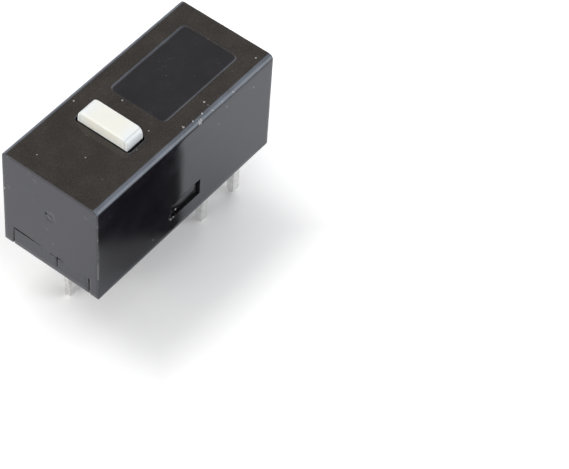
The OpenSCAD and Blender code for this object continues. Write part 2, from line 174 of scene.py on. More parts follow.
def edges_along(bm, axis, test=None):
    """Edges that run along one axis, and pass a test on their middle."""
    found = []
    for edge in bm.edges:
        way = (edge.verts[1].co - edge.verts[0].co).normalized()
        middle = (edge.verts[0].co + edge.verts[1].co) / 2
        if abs(way[axis]) > 0.99 and (test is None or test(middle)):
            found.append(edge)
    return found


def bevel_edges(bm, edges, offset, segments):
    """Round edges, without letting the rounds collide."""
    bmesh.ops.bevel(
        bm, geom=list(edges), offset=offset, offset_type="OFFSET", affect="EDGES",
        segments=segments, profile=0.5, material=-1, clamp_overlap=True)


def sharp_edges(bm, degrees):
    """Edges whose two faces turn by more than an angle."""
    limit = math.radians(degrees)
    return [e for e in bm.edges if len(e.link_faces) == 2 and e.calc_face_angle(0) > limit]


def on_seam(edge, end_x, top_z):
    """Whether an edge lies on the seam between the base and an end wall."""
    deep, low = 0.2 * MM, 0.6 * MM
    return all(abs(v.co.x) > abs(end_x) - deep and low < v.co.z < top_z for v in edge.verts)


def on_pip(edge, end_x):
    """Whether an edge belongs to the gate mark."""
    centre = Vector((end_x, 0, PIP_Z))
    return all((v.co - centre).length < PIP_REACH for v in edge.verts)


def on_window(edge, s):
    """Whether an edge belongs to a latch window."""
    spare, inside = 0.02 * MM, 2.0 * MM
    half = s.window_width / 2 + spare
    low, high = s.window_low - spare, s.window_high + spare
    return all(abs(v.co.y) > inside and abs(v.co.x - s.window_offset) < half
               and low < v.co.z < high for v in edge.verts)


def tidy(bm):
    """Merge doubles and join flat neighbouring faces."""
    bmesh.ops.remove_doubles(bm, verts=bm.verts, dist=MERGE_DISTANCE)
    bmesh.ops.dissolve_limit(
        bm, angle_limit=math.radians(0.4), verts=bm.verts, edges=bm.edges)
    bmesh.ops.dissolve_degenerate(bm, edges=bm.edges, dist=MERGE_DISTANCE)


def as_object(bm, name):
    """A linked object that holds the mesh, at the origin."""
    mesh = bpy.data.meshes.new(name)
    bm.to_mesh(mesh)
    bm.free()
    piece = bpy.data.objects.new(name, mesh)
    bpy.context.scene.collection.objects.link(piece)
    return piece


def combine(bm, tools):
    """Cut or join other meshes with exact booleans. Tools are (mesh, operation) pairs."""
    body = as_object(bm, "work")
    used = [body]
    for tool, operation in tools:
        other = as_object(tool, "tool")
        other.hide_render = True
        used.append(other)
        step = body.modifiers.new("step", "BOOLEAN")
        step.object = other
        step.operation = operation
        step.solver = "EXACT"
    bpy.context.view_layer.update()
    ready = body.evaluated_get(bpy.context.evaluated_depsgraph_get())
    out = bmesh.new()
    out.from_mesh(ready.to_mesh())
    ready.to_mesh_clear()
    for item in used:
        mesh = item.data
        bpy.data.objects.remove(item)
        bpy.data.meshes.remove(mesh)
    tidy(out)
    return out


def lattice_cut(bm, axis, low, high, step):
    """Cut all faces at even steps along one axis, so that they can be moved by small amounts."""
    count = max(1, round((high - low) / step))
    normal = Vector((0, 0, 0))
    normal[axis] = 1
    for i in range(1, count):
        point = Vector((0, 0, 0))
        point[axis] = low + (high - low) * i / count
        bmesh.ops.bisect_plane(
            bm, geom=list(bm.verts) + list(bm.edges) + list(bm.faces), dist=1e-8,
            plane_co=point, plane_no=normal)


def finish_piece(bm, name, body, node, materials, smooth_angle=38):
    """Turn a mesh into a named piece that stands for a node."""
    bmesh.ops.recalc_face_normals(bm, faces=bm.faces)
    for face in bm.faces:
        face.smooth = True
    piece = as_object(bm, name)
    piece.data.set_sharp_from_angle(angle=math.radians(smooth_angle))
    weighted = piece.modifiers.new("weighted_normals", "WEIGHTED_NORMAL")
    weighted.keep_sharp = True
    for material in materials:
        piece.data.materials.append(material)
    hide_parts(node)
    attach(piece, body)
    return piece


def merged_copy(node):
    """A node's mesh with its doubles merged and its flat faces joined."""
    bm = bmesh.new()
    bm.from_mesh(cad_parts[node].data)
    tidy(bm)
    return bm


# Material helpers ---------------------------------------------------------------------------


class Tree:
    """Short way to add and link shader nodes."""

    def __init__(self, tree):
        self.tree = tree

    def add(self, kind, inputs=None, **settings):
        """Add a node, set its properties, and set or link its inputs."""
        node = self.tree.nodes.new(kind)
        for key, value in settings.items():
            setattr(node, key, value)
        for key, value in (inputs or {}).items():
            self.put(node.inputs[key], value)
        return node

    def put(self, socket, value):
        if isinstance(value, bpy.types.NodeSocket):
            self.tree.links.new(value, socket)
        else:
            socket.default_value = value

    def math(self, operation, *values, clamp=False):
        """Output of a math node."""
        node = self.add("ShaderNodeMath", operation=operation, use_clamp=clamp)
        for socket, value in zip(node.inputs, values):
            self.put(socket, value)
        return node.outputs[0]

    def times(self, first, second, clamp=False):
        return self.math("MULTIPLY", first, second, clamp=clamp)

    def size(self, value):
        """The value without its sign."""
        return self.math("ABSOLUTE", value)

    def place(self):
        """Position on the piece, in metres."""
        return self.add("ShaderNodeTexCoord").outputs["Object"]

    def split(self, vector):
        """The three parts of a vector."""
        return self.add("ShaderNodeSeparateXYZ", {0: vector}).outputs

    def ramp(self, value, low, high, out_low=0.0, out_high=1.0):
        """Smooth step from one output to another while the value goes from low to high."""
        node = self.add(
            "ShaderNodeMapRange",
            {"Value": value, "From Min": low, "From Max": high, "To Min": out_low,
             "To Max": out_high},
            interpolation_type="SMOOTHSTEP")
        return node.outputs[0]

    def mix(self, factor, first, second):
        """Mix of two colours."""
        node = self.add("ShaderNodeMix", data_type="RGBA")
        self.put(node.inputs[0], factor)
        self.put(node.inputs[6], first)
        self.put(node.inputs[7], second)
        return node.outputs[2]

    def layer(self, mask, share, under, over):
        """Lay a share of one colour over another where a mask says so."""
        return self.mix(self.times(mask, share), under, over)

    def noise(self, vector, scale, detail=2.0, roughness=0.5):
        node = self.add(
            "ShaderNodeTexNoise",
            {"Vector": vector, "Scale": scale, "Detail": detail, "Roughness": roughness})
        return node.outputs[0]


def new_group(name, inputs, outputs):
    """A shader node group with named float inputs and named outputs."""
    group = bpy.data.node_groups.new(name, "ShaderNodeTree")
    for label, default in inputs:
        socket = group.interface.new_socket(label, in_out="INPUT", socket_type="NodeSocketFloat")
        socket.default_value = default
    for label in outputs:
        group.interface.new_socket(label, in_out="OUTPUT", socket_type="NodeSocketFloat")
    tree = Tree(group)
    return group, tree, tree.add("NodeGroupInput").outputs, tree.add("NodeGroupOutput").inputs


def grain_group():
    """Fine moulding grain, slow tone changes and hair scratches. Sizes are in metres."""
    group, t, given, out = new_group(
        "moulding_grain",
        [("Grain Size", 0.06 * MM), ("Tone Size", 1.2 * MM), ("Scratch Size", 0.35 * MM)],
        ["Grain", "Tone", "Scratches"])
    where = t.place()
    t.put(out["Grain"], t.noise(where, t.math("DIVIDE", 1.0, given["Grain Size"]), 3.0, 0.6))
    t.put(out["Tone"], t.noise(where, t.math("DIVIDE", 1.0, given["Tone Size"]), 3.0, 0.55))
    fine = t.math("DIVIDE", 1.0, given["Scratch Size"])
    marks = None
    for turn, stretch in (((0.3, 0.2, 0.7), 9.0), ((0.1, 0.5, -0.9), 11.0)):
        place = t.add(
            "ShaderNodeMapping", {"Vector": where, "Rotation": turn, "Scale": (stretch, 1, 1)})
        line = t.ramp(t.noise(place.outputs[0], fine, 1.0, 0.4), 0.70, 0.76)
        marks = line if marks is None else t.math("MAXIMUM", marks, line)
    patch = t.ramp(t.noise(where, t.times(fine, 0.3), 1.0), 0.5, 0.68)
    t.put(out["Scratches"], t.times(marks, patch))
    return group


def speck_group():
    """Scattered dust: a share of the cells of a cell pattern holds one speck each."""
    group, t, given, out = new_group(
        "dust_specks",
        [("Cell Size", 0.5 * MM), ("Share", 0.3), ("Speck", 0.1), ("Shift", 0.0)],
        ["Mask"])
    where = t.place()
    moved = t.add("ShaderNodeVectorMath", {0: where}, operation="ADD")
    shift = t.add("ShaderNodeCombineXYZ", {"X": given["Shift"], "Y": given["Shift"]})
    t.put(moved.inputs[1], shift.outputs[0])
    cells = t.add(
        "ShaderNodeTexVoronoi",
        {"Vector": moved.outputs[0], "Scale": t.math("DIVIDE", 1.0, given["Cell Size"])})
    tint = t.add("ShaderNodeSeparateColor", {"Color": cells.outputs["Color"]})
    chosen = t.math("LESS_THAN", tint.outputs[0], given["Share"])
    reach = t.times(given["Speck"], t.ramp(tint.outputs[1], 0.0, 1.0, 0.35, 1.0))
    near = t.math("SUBTRACT", 1.0, t.math("DIVIDE", cells.outputs["Distance"], reach), clamp=True)
    t.put(out["Mask"], t.times(chosen, t.ramp(near, 0.0, 0.5)))
    return group


def wear_group():
    """Mask of convex and concave edges, broken up by noise."""
    group, t, given, out = new_group(
        "edge_wear",
        [("Radius", 0.06 * MM), ("Break Size", 0.2 * MM), ("Keep", 0.5)],
        ["Mask"])
    where = t.place()
    rounded = t.add("ShaderNodeBevel", {"Radius": given["Radius"]}, samples=6)
    flat = t.add("ShaderNodeNewGeometry").outputs["Normal"]
    same = t.add("ShaderNodeVectorMath", {0: rounded.outputs[0], 1: flat}, operation="DOT_PRODUCT")
    edge = t.ramp(same.outputs["Value"], 0.985, 0.80)
    parts = t.noise(where, t.math("DIVIDE", 1.0, given["Break Size"]), 3.0, 0.6)
    low = t.math("SUBTRACT", given["Keep"], 0.08)
    kept = t.math("GREATER_THAN", parts, low)
    soft = t.times(t.math("SUBTRACT", parts, low), 8.0, clamp=True)
    t.put(out["Mask"], t.times(edge, t.times(kept, soft)))
    return group


GROUPS = {}

# Places and radii of the knocks on the near long edge and round its latch window, in millimetres
CHIPS = (
    ((0.92, -2.78, 6.12), 0.20), ((0.10, -2.48, 6.24), 0.10), ((3.37, -2.84, 6.08), 0.13),
    ((1.88, -2.78, 6.15), 0.09), ((2.55, -2.80, 6.12), 0.07), ((-1.2, -2.80, 6.10), 0.06),
    ((-1.14, -2.86, 1.06), 0.14), ((-0.93, -2.86, 0.97), 0.09), ((-1.17, -2.86, 1.32), 0.08),
)
# Places and radii of the larger dust specks on the cover, in millimetres, and how pale each is
SPECKS = (
    ((-1.96, 2.37, 6.25), 0.050, 0.85), ((-0.47, 0.70, 6.25), 0.050, 0.90),
    ((-1.13, -1.43, 6.25), 0.050, 0.45), ((-4.23, -0.29, 6.25), 0.050, 0.40),
    ((-2.36, -1.74, 6.25), 0.045, 0.30), ((1.30, -2.61, 6.25), 0.055, 0.95),
    ((1.92, -2.23, 6.25), 0.060, 0.80), ((1.89, -2.49, 6.25), 0.040, 0.50),
    ((5.71, -2.33, 6.25), 0.050, 0.75), ((4.95, -2.86, 5.21), 0.045, 0.60),
    ((2.89, -2.86, 5.56), 0.050, 0.50), ((2.33, -2.86, 4.83), 0.050, 0.55),
    ((-0.60, -2.75, 1.18), 0.065, 0.95), ((-1.27, -2.89, 1.17), 0.035, 0.50),
    ((-1.13, -2.89, 1.33), 0.030, 0.45), ((-6.40, 2.78, 3.70), 0.050, 0.70),
)


def use_group(tree, name, **inputs):
    """Place a shared group in a material. Underscores in input names stand for spaces."""
    makers = {"moulding_grain": grain_group, "dust_specks": speck_group,
              "edge_wear": wear_group, "facing": facing_group, "bruises": bruise_group,
              "stem": stem_group}
    if name not in GROUPS:
        GROUPS[name] = makers[name]()
    node = tree.add("ShaderNodeGroup", node_tree=GROUPS[name])
    for key, value in inputs.items():
        tree.put(node.inputs[key.replace("_", " ")], value)
    return node.outputs


def facing_group():
    """Masks of the open top, of the ends, of the rounds beside the top, and of broken patches along
    the vertical corners where highlights are painted.
    """
    group, t, _, out = new_group("facing", [], ["Up", "End", "Long Edge", "Corner"])
    way = t.add("ShaderNodeNewGeometry").outputs["Normal"]
    parts = t.split(way)
    where = t.place()
    height = t.split(where)[2]
    top = COVER_HIGH.z
    outer = t.ramp(height, top - 0.04 * MM, top - 0.01 * MM, 0.2, 1.0)
    t.put(out["Up"], t.times(t.ramp(parts[2], 0.6, 0.97), outer))
    t.put(out["End"], t.ramp(t.size(parts[0]), 0.7, 0.97))
    side = t.size(parts[1])
    lean = t.times(t.ramp(side, 0.04, 0.30), t.ramp(parts[2], 0.20, 0.50))
    t.put(out["Long Edge"], lean)
    # Broken patches along the vertical corners, for painted highlights.
    turn = t.times(side, t.size(parts[0]))
    broken = t.ramp(t.noise(where, 1 / (0.55 * MM), 5.0, 0.7), 0.47, 0.62)
    t.put(out["Corner"], t.times(t.ramp(turn, 0.10, 0.30), broken))
    return group


def bruise_group():
    """Masks of the knocks and of the larger specks of dust, with bent outlines."""
    group, t, _, out = new_group("bruises", [], ["Chips", "Specks"])
    where = t.place()
    fuzz = t.add("ShaderNodeTexNoise", {"Vector": where, "Scale": 1 / (0.05 * MM), "Detail": 1.0})
    shift = t.add("ShaderNodeVectorMath", {0: fuzz.outputs["Color"], 1: (0.5, 0.5, 0.5)},
                  operation="SUBTRACT")
    bent = t.add("ShaderNodeVectorMath",
                 {0: shift.outputs[0], 1: (0.09 * MM,) * 3, 2: where}, operation="MULTIPLY_ADD")

    def spots(places):
        marks = None
        for place, radius, weight in places:
            away = t.add("ShaderNodeVectorMath", {0: bent.outputs[0], 1: Vector(place) * MM},
                         operation="DISTANCE").outputs["Value"]
            spot = t.ramp(away, radius * MM, radius * 0.5 * MM, 0.0, weight)
            marks = spot if marks is None else t.math("MAXIMUM", marks, spot)
        return marks

    broken = t.ramp(t.noise(where, 1 / (0.11 * MM), 2.0, 0.6), 0.49, 0.55)
    knocked = spots((place, radius, 1.0) for place, radius in CHIPS)
    t.put(out["Chips"], t.times(knocked, broken))
    t.put(out["Specks"], spots(SPECKS))
    return group


def emptied(owner):
    """The cleared node tree of a material or a world."""
    owner.use_nodes = True
    owner.node_tree.nodes.clear()
    return Tree(owner.node_tree)


def new_material(name):
    """A material with one Principled shader, its tree and the shader's inputs."""
    material = bpy.data.materials.new(name)
    tree = emptied(material)
    shader = tree.add("ShaderNodeBsdfPrincipled")
    tree.add("ShaderNodeOutputMaterial", {"Surface": shader.outputs[0]})
    return material, tree, shader.inputs


def add_bump(tree, into, height, strength, distance):
    """Bump the surface by a height. The distance is in millimetres."""
    bump = tree.add(
        "ShaderNodeBump", {"Height": height, "Strength": strength, "Distance": distance * MM})
    tree.put(into["Normal"], bump.outputs[0])


def rgba(colour, scale=1.0):
    """A colour with its alpha, scaled and kept within 1."""
    return (*[min(1.0, c * scale) for c in colour], 1.0)


def black_plastic(name, colour, roughness, dust_share):
    """Glossy black moulding with fine grain, a dust film, specks, scratches and rubbed edges, with a
    painted sheen on the end faces, a painted highlight band on the long top rounds and painted
    highlight patches on the vertical corners.
    """
    dust = bpy.context.scene.switch_colours.dust
    film = (dust[0] * 0.70, dust[1] * 0.52, dust[2] * 0.30)
    # Painted highlight, partly a worn haze: a pale bluish tint on the long top rounds.
    haze_and_painted_highlight = (dust[0] * 0.30, dust[1] * 0.34, dust[2] * 0.42)
    # Painted sheen: a pale tint laid on the end faces in place of the light they mirror.
    painted_end_sheen = (dust[0] * 0.88, dust[1] * 0.86, dust[2] * 1.05)
    material, t, into = new_material(name)
    grain = use_group(t, "moulding_grain")
    facing = use_group(t, "facing")
    bruises = use_group(t, "bruises")
    specks = use_group(t, "dust_specks", Cell_Size=0.62 * MM, Share=dust_share, Speck=0.085)
    flecks = use_group(
        t, "dust_specks", Cell_Size=0.17 * MM, Share=dust_share * 0.55, Speck=0.16,
        Shift=3.7 * MM)
    wear = use_group(t, "edge_wear", Radius=0.05 * MM, Break_Size=0.16 * MM, Keep=0.54)
    tone = t.ramp(grain["Tone"], 0.3, 0.7)
    mottle = t.ramp(grain["Grain"], 0.3, 0.7)
    plain = t.mix(tone, rgba(colour, 0.86), rgba(colour, 1.18))
    dusted = t.times(facing["Up"], t.ramp(tone, 0.0, 1.0, 0.85, 1.15))
    knocked = bruises["Chips"]
    layers = (
        (dusted, t.ramp(mottle, 0.0, 1.0, 0.026, 0.080), rgba(film)),
        # painted sheen on the end faces
        (facing["End"], t.ramp(mottle, 0.0, 1.0, 0.016, 0.028), rgba(painted_end_sheen)),
        # painted highlight band on the long top rounds, partly worn haze
        (facing["Long Edge"], t.ramp(tone, 0.0, 1.0, 0.52, 0.72), rgba(haze_and_painted_highlight)),
        (grain["Scratches"], 0.16, rgba(dust, 0.35)),
        (flecks["Mask"], 0.45, rgba(dust, 0.6)),
        (wear["Mask"], 0.40, rgba(dust, 0.5)),
        # painted highlight patches on the vertical corners
        (facing["Corner"], 0.45, rgba(dust, 0.5)),
        (knocked, 0.75, rgba(dust, 0.9)),
    )
    for mask, share, over in layers:
        plain = t.layer(mask, share, plain, over)
    loose = t.math("MAXIMUM", specks["Mask"], bruises["Specks"])
    plain = t.mix(loose, plain, rgba(dust))
    t.put(into["Base Color"], plain)
    rough = t.ramp(tone, 0.0, 1.0, roughness * 0.9, roughness * 1.12)
    dusty = t.math("MAXIMUM", loose, t.math("MAXIMUM", wear["Mask"], knocked))
    rough = t.math("ADD", rough, t.times(dusty, 0.4), clamp=True)
    rough = t.math("ADD", rough, t.times(facing["Long Edge"], 0.10), clamp=True)
    t.put(into["Roughness"], rough)
    height = t.math("ADD", t.times(grain["Grain"], 0.35), grain["Scratches"])
    height = t.math("ADD", height, t.times(loose, 3.0))
    height = t.math("SUBTRACT", height, t.times(knocked, 4.0))
    add_bump(t, into, height, 0.22, 0.004)
    into["IOR"].default_value = 1.52
    return material


def stem_group():
    """Masks of the button: painted shade on the sunk stem, painted highlight on the lip above it,
    ends, near side and painted shade lines at the shoulders.
    """
    group, t, _, out = new_group("stem", [], ["Sunk", "Lip Glint", "Ends", "Near Side", "Shoulder"])
    where = t.place()
    parts = t.split(where)
    top = COVER_HIGH.z
    # Painted shade on the stem below the cover's top, and a painted highlight on the lip just above
    # it.
    t.put(out["Sunk"], t.ramp(parts[2], top + 0.005 * MM, top - 0.02 * MM))
    t.put(out["Lip Glint"], t.ramp(parts[2], top + 0.09 * MM, top + 0.03 * MM))
    along = t.size(parts[1])
    t.put(out["Ends"], t.ramp(along, 0.5 * MM, 1.4 * MM))
    way = t.add("ShaderNodeNewGeometry").outputs["Normal"]
    t.put(out["Near Side"], t.ramp(t.split(way)[0], 0.0, -1.0))
    length = bpy.context.scene.switch_button.length
    # Thin painted shade line where the round of each shoulder begins.
    off = t.size(t.math("SUBTRACT", along, length / 2 - 0.16 * MM))
    t.put(out["Shoulder"], t.ramp(off, 0.05 * MM, 0.015 * MM))
    return group


def button_plastic():
    """Off-white waxy plastic with a painted highlight along its top edges and painted shade where it
    sinks into the slot.
    """
    colour = bpy.context.scene.switch_colours.button
    material, t, into = new_material("button_plastic")
    grain = use_group(t, "moulding_grain", Tone_Size=0.7 * MM, Scratch_Size=0.2 * MM)
    stem = use_group(t, "stem")
    # Edge mask used for a painted highlight along the button's edges.
    rim = use_group(t, "edge_wear", Radius=0.07 * MM, Break_Size=0.6 * MM, Keep=0.1)
    specks = use_group(t, "dust_specks", Cell_Size=0.4 * MM, Share=0.1, Speck=0.06)
    warm = (colour[0] * 1.0, colour[1] * 0.985, colour[2] * 0.955)
    cool = (colour[0] * 0.95, colour[1] * 1.0, colour[2] * 1.08)
    # The side that faces -X is tinted warmer and a little darker.
    near_side_tint = (colour[0] * 1.0, colour[1] * 0.975, colour[2] * 0.90)
    drift = t.times(t.ramp(grain["Tone"], 0.3, 0.7, 0.6, 1.0), stem["Ends"])
    plain = t.mix(drift, rgba(warm), rgba(cool))
    # Painted highlight on the button's edges and on the lip above the slot.
    bright = t.math("MAXIMUM", rim["Mask"], stem["Lip Glint"])
    layers = (
        # warmer, slightly darker tint on the side facing -X
        (stem["Near Side"], 0.3, rgba(near_side_tint)),
        # painted shade line at each shoulder
        (stem["Shoulder"], 0.22, rgba(colour, 0.2)),
        (grain["Scratches"], 0.12, rgba(colour, 0.72)),
        (bright, 0.5, (1, 1, 0.99, 1)),
        (specks["Mask"], 0.4, rgba(colour, 0.4)),
        # painted shade where the button sinks into the slot
        (stem["Sunk"], 0.93, rgba(colour, 0.02)),
    )
    for mask, share, over in layers:
        plain = t.layer(mask, share, plain, over)
    t.put(into["Base Color"], plain)
    t.put(into["Roughness"], t.ramp(grain["Tone"], 0.3, 0.7, 0.34, 0.46))
    add_bump(t, into, grain["Grain"], 0.2, 0.003)
    into["Subsurface Weight"].default_value = 0.7
    into["Subsurface Radius"].default_value = (1.0, 0.96, 0.88)
    into["Subsurface Scale"].default_value = 0.28 * MM
    return material


def plated_metal(name, colour, roughness, tarnish):
    """Plated metal with drawn streaks, dull patches and brighter edges."""
    material, t, into = new_material(name)
    grain = use_group(t, "moulding_grain", Grain_Size=0.03 * MM, Tone_Size=0.5 * MM)
    rim = use_group(t, "edge_wear", Radius=0.03 * MM, Break_Size=0.3 * MM, Keep=0.3)
    where = t.place()
    drawn = t.add("ShaderNodeMapping", {"Vector": where, "Scale": (1, 1, 0.08)})
    streaks = t.noise(drawn.outputs[0], 1 / (0.04 * MM), 3.0, 0.6)
    dull = t.ramp(grain["Tone"], 0.42, 0.66)
    plain = t.layer(dull, tarnish, rgba(colour), rgba(colour, 0.55))
    plain = t.mix(t.ramp(streaks, 0.45, 0.75, 0.0, 0.3), plain, rgba(colour, 0.7))
    plain = t.layer(rim["Mask"], 0.6, plain, rgba(colour, 1.2))
    t.put(into["Base Color"], plain)
    rough = t.math("ADD", t.ramp(streaks, 0.3, 0.7, roughness * 0.8, roughness * 1.2),
                   t.times(dull, 0.18), clamp=True)
    t.put(into["Roughness"], rough)
    height = t.math("ADD", t.times(streaks, 0.6), grain["Grain"])
    add_bump(t, into, height, 0.3, 0.002)
    into["Metallic"].default_value = 1.0
    return material


def cast_resin(name, colour, roughness, alpha):
    """Cast resin with slow cloudiness and fine surface ripple."""
    material, t, into = new_material(name)
    grain = use_group(t, "moulding_grain", Tone_Size=0.8 * MM)
    plain = t.mix(t.ramp(grain["Tone"], 0.3, 0.7), rgba(colour, 0.85), rgba(colour, 1.1))
    t.put(into["Base Color"], plain)
    t.put(into["Roughness"], t.ramp(grain["Tone"], 0.3, 0.7, roughness, roughness * 1.6))
    add_bump(t, into, grain["Grain"], 0.15, 0.002)
    into["Alpha"].default_value = alpha
    return material


# Pieces -------------------------------------------------------------------------------------


def wavering(point, size, seed):
    """Small smooth offset that changes along an edge."""
    return noise.noise(Vector(point) / size + Vector((seed, 0, 0)))


class SWITCH_OT_cover(bpy.types.Operator):
    """Mould the cover: shell, button slot, windows, plain sunk panel, gate mark and edges"""

    bl_idname = "switch.cover"
    bl_label = "Cover"

    def execute(self, context):
        s = context.scene.switch_cover
        b = context.scene.switch_button
        low, high = COVER_LOW, COVER_HIGH
        cut, cavity_radius, panel_radius = 1.0 * MM, 0.15 * MM, 0.3 * MM
        inner = Vector((high.x - s.end_wall, high.y - s.side_wall, high.z - s.top_wall))

        shell = box_mesh(low, high)
        for vert in shell.verts:
            if vert.co.z > high.z / 2:
                vert.co.y -= math.copysign(s.side_lean, vert.co.y)
        top_edges = edges_along(shell, 0, lambda p: p.z > high.z / 2)
        bevel_edges(shell, top_edges, s.top_radius, 10)

        cavity = box_mesh((-inner.x, -inner.y, -cut), inner)
        bevel_edges(cavity, edges_along(cavity, 0, lambda p: p.z > 0), cavity_radius, 3)
        seam = self.seam_cutter(low.x - cut, high.x + cut, inner.y, cut, s)
        slot = box_mesh(
            (BUTTON_X - b.slot_width / 2, -b.slot_length / 2, inner.z - cut),
            (BUTTON_X + b.slot_width / 2, b.slot_length / 2, high.z + cut))
        bevel_edges(slot, edges_along(slot, 2), b.slot_radius, 6)
        window = box_mesh(
            (s.window_offset - s.window_width / 2, low.y - cut, s.window_low),
            (s.window_offset + s.window_width / 2, high.y + cut, s.window_high))
        panel = box_mesh((s.panel_low, -s.panel_width / 2, high.z - s.panel_depth),
                         (s.panel_high, s.panel_width / 2, high.z + cut))
        bevel_edges(panel, edges_along(panel, 2), panel_radius, 6)
        lead_in = [self.lead_in_cutter(low.x - cut, high.x + cut, inner.y, s.lead_in, side)
                   for side in (-1, 1)]
        rib_low, rib_high = (0.86 * MM, -1.0 * MM, 4.86 * MM), (1.26 * MM, 1.0 * MM, 5.9 * MM)
        rib = box_mesh(rib_low, rib_high)
        cutters = [cavity, seam, slot, window, panel, *lead_in, *self.pip_cutters(low.x)]
        steps = [(cutter, "DIFFERENCE") for cutter in cutters]
        shell = combine(shell, steps + [(rib, "UNION")])

        seam_top = s.seam_height + s.seam_gap + 0.02 * MM
        broken = [e for e in sharp_edges(shell, SHARP_ANGLE)
                  if not on_seam(e, low.x, seam_top) and not on_pip(e, low.x)
                  and not on_window(e, s)]
        bevel_edges(shell, broken, s.edge_break, 2)
        tidy(shell)
        for axis, step in enumerate((0.16 * MM, 0.2 * MM, 0.25 * MM)):
            lattice_cut(shell, axis, low[axis], high[axis], step)
        self.waver(shell, high, s)
        plastic = black_plastic(
            "cover_plastic", context.scene.switch_colours.cover, 0.20, 0.10)
        finish_piece(shell, "cover_shell", "housing", "cover", [plastic])
        return {"FINISHED"}

    def seam_cutter(self, x0, x1, wall_y, cut, s):
        """Room for the base. Its top wavers, so that the seam closes here and gapes there."""
        dip_y, dip_width, least = -0.45 * MM, 0.8 * MM, 0.12
        bm = box_mesh((x0, -wall_y, -cut), (x1, wall_y, s.seam_height))
        lattice_cut(bm, 1, -wall_y, wall_y, 0.25 * MM)
        for vert in bm.verts:
            if vert.co.z > 0:
                gape = min(1, max(0, (vert.co.y / wall_y + 0.1) / 0.75))
                dip = max(0, 1 - abs(vert.co.y - dip_y) / dip_width)
                vert.co.z += s.seam_gap * max(least, gape, 0.4 * dip)
        return bm

    def lead_in_cutter(self, x0, x1, wall_y, size, side):
        """Wedge that chamfers the inner foot of one long wall."""
        over = 0.3 * MM
        near, far = side * (wall_y - over), side * (wall_y + size)
        bm = box_mesh((x0, min(near, far), -over), (x1, max(near, far), size))
        for vert in bm.verts:
            if vert.co.z > 0 and abs(vert.co.y) > wall_y:
                vert.co.y = side * wall_y
            elif abs(vert.co.y) > wall_y:
                vert.co.y = side * (wall_y + size + over)
        return bm

    def pip_cutters(self, x):
        """Cutters for the gate mark: a shallow dish round a nub, and a torn pit beside the nub."""
        dish = bmesh.new()
        # Depth under the end face and distance from the middle, in millimetres
        corners = [(-0.4, 0.10), (0.0, 0.10), (0.010, 0.14), (0.012, 0.20), (0.008, 0.25),
                   (0.0, 0.30), (-0.4, 0.30)]
        ring = [dish.verts.new((x + a * MM, 0, r * MM)) for a, r in corners]
        for i, vert in enumerate(ring):
            dish.edges.new((ring[i - 1], vert))
        bmesh.ops.spin(
            dish, geom=dish.verts[:] + dish.edges[:], cent=(0, 0, 0),
            axis=(1, 0, 0), angle=2 * math.pi, steps=40, use_merge=True, use_duplicate=False)
        bmesh.ops.remove_doubles(dish, verts=dish.verts, dist=1e-8)
        bmesh.ops.translate(dish, vec=(0, 0, PIP_Z), verts=dish.verts)
        bmesh.ops.recalc_face_normals(dish, faces=dish.faces)
        pit = box_mesh((x - 0.2 * MM, 0.17 * MM, PIP_Z + 0.02 * MM),
                       (x + 0.12 * MM, 0.31 * MM, PIP_Z + 0.16 * MM))
        bevel_edges(pit, edges_along(pit, 0), 0.05 * MM, 3)
        return [dish, pit]

    def waver(self, bm, high, s):
        """Make the sharp edges round both ends waver."""
        reach = 0.12 * MM
        for vert in bm.verts:
            p = vert.co
            end = 1 - min(1, (high.x - abs(p.x)) / reach)
            top = 1 - min(1, max(0, high.z - p.z) / reach)
            side = 1 - min(1, max(0, high.y - abs(p.y)) / reach)
            if end > 0 and top > 0:
                move = wavering(p, 0.22 * MM, 3.0) + 0.5 * wavering(p, 0.09 * MM, 8.0)
                vert.co.z -= s.flash * top * end * (0.45 + abs(move))
            if end > 0 and side > 0:
                move = wavering(p, 0.3 * MM, 5.0)
                vert.co.y -= math.copysign(s.flash * 0.5 * side * end * abs(move), p.y)


class SWITCH_OT_button(bpy.types.Operator):
    """Mould the press button with its rounded shoulders, flange and nose"""

    bl_idname = "switch.button"
    bl_label = "Press button"

    def execute(self, context):
        b = context.scene.switch_button
        flange_top, rim_from, sunk = 5.67 * MM, 5.9 * MM, 0.2 * MM
        stem = box_mesh(
            (BUTTON_X - b.width / 2, -b.length / 2, flange_top - sunk),
            (BUTTON_X + b.width / 2, b.length / 2, BUTTON_HIGH.z))
        bevel_edges(stem, edges_along(stem, 0, lambda p: p.z > flange_top), b.shoulder, 10)
        for outer, radius in ((True, b.soft_rim), (False, b.rim)):
            rim = [e for e in sharp_edges(stem, 60) if min(v.co.z for v in e.verts) > rim_from
                   and all((v.co.x < BUTTON_X) == outer for v in e.verts)]
            bevel_edges(stem, rim, radius, 5)
        low_corner = (BUTTON_LOW.x, BUTTON_LOW.y, flange_top - b.flange)
        flange = box_mesh(low_corner, (BUTTON_HIGH.x, BUTTON_HIGH.y, flange_top))
        bevel_edges(flange, flange.edges, 0.03 * MM, 2)
        nose_length = 2.5 * MM
        nose_z = BUTTON_LOW.z + b.nose_radius
        nose = box_mesh(
            (BUTTON_X - b.nose_radius, -nose_length / 2, BUTTON_LOW.z),
            (BUTTON_X + b.nose_radius, nose_length / 2, flange_top - sunk))
        bevel_edges(
            nose, edges_along(nose, 1, lambda p: p.z < nose_z), b.nose_radius * 0.999, 12)
        stem = combine(stem, [(flange, "UNION"), (nose, "UNION")])
        finish_piece(
            stem, "press_button", "button", "plunger", [button_plastic()])
        return {"FINISHED"}


